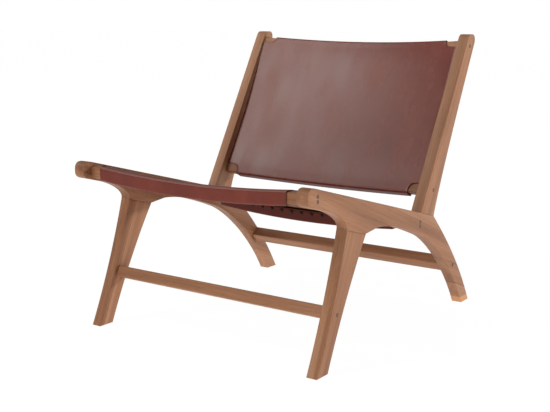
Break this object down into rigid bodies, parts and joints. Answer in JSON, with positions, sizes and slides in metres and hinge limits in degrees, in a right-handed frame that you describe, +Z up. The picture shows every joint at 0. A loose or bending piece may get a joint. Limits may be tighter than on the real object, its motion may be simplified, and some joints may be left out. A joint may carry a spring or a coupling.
{
  "type": "sling lounge chair",
  "caption": "Low armless lounge chair: sawn timber side frames with splayed legs and raked posts carry a leather seat and back stretched round dished cross rails.",
  "frame": {"origin": "on the floor, under the middle of the chair's overall width and depth", "axes": "+X across the chair, +Y from the front nose to the rear feet, +Z up"},
  "size_m": [0.68, 0.808, 0.7225],
  "materials": {
    "frame_wood": "oiled satin",
    "plug_wood": "oiled satin",
    "dowel_wood": "bare",
    "screw_steel": "zinc plated",
    "leather": "waxed"
  },
  "bodies": {
    "root": {"left_side_rail": "frame_wood", "left_front_leg": "frame_wood", "left_back_post": "frame_wood", "left_leg_dowel_1": "dowel_wood", "left_leg_dowel_2": "dowel_wood", "left_post_dowel_1": "dowel_wood", "left_post_dowel_2": "dowel_wood", "left_screw_front_seat_rail_1": "screw_steel", "left_plug_front_seat_rail_1": "plug_wood", "left_screw_front_seat_rail_2": "screw_steel", "left_plug_front_seat_rail_2": "plug_wood", "left_screw_rear_seat_rail_1": "screw_steel", "left_plug_rear_seat_rail_1": "plug_wood", "left_screw_rear_seat_rail_2": "screw_steel", "left_plug_rear_seat_rail_2": "plug_wood", "left_screw_lower_back_rail": "screw_steel", "left_plug_lower_back_rail": "plug_wood", "left_screw_top_back_rail": "screw_steel", "left_plug_top_back_rail": "plug_wood", "left_screw_front_stretcher": "screw_steel", "left_plug_front_stretcher": "plug_wood", "left_screw_rear_stretcher": "screw_steel", "left_plug_rear_stretcher": "plug_wood", "right_side_rail": "frame_wood", "right_front_leg": "frame_wood", "right_back_post": "frame_wood", "right_leg_dowel_1": "dowel_wood", "right_leg_dowel_2": "dowel_wood", "right_post_dowel_1": "dowel_wood", "right_post_dowel_2": "dowel_wood", "right_screw_front_seat_rail_1": "screw_steel", "right_plug_front_seat_rail_1": "plug_wood", "right_screw_front_seat_rail_2": "screw_steel", "right_plug_front_seat_rail_2": "plug_wood", "right_screw_rear_seat_rail_1": "screw_steel", "right_plug_rear_seat_rail_1": "plug_wood", "right_screw_rear_seat_rail_2": "screw_steel", "right_plug_rear_seat_rail_2": "plug_wood", "right_screw_lower_back_rail": "screw_steel", "right_plug_lower_back_rail": "plug_wood", "right_screw_top_back_rail": "screw_steel", "right_plug_top_back_rail": "plug_wood", "right_screw_front_stretcher": "screw_steel", "right_plug_front_stretcher": "plug_wood", "right_screw_rear_stretcher": "screw_steel", "right_plug_rear_stretcher": "plug_wood", "front_seat_rail": "frame_wood", "rear_seat_rail": "frame_wood", "lower_back_rail": "frame_wood", "top_back_rail": "frame_wood", "front_stretcher": "frame_wood", "rear_stretcher": "frame_wood", "seat_leather": "leather", "back_leather": "leather"}
  },
  "joints": []
}
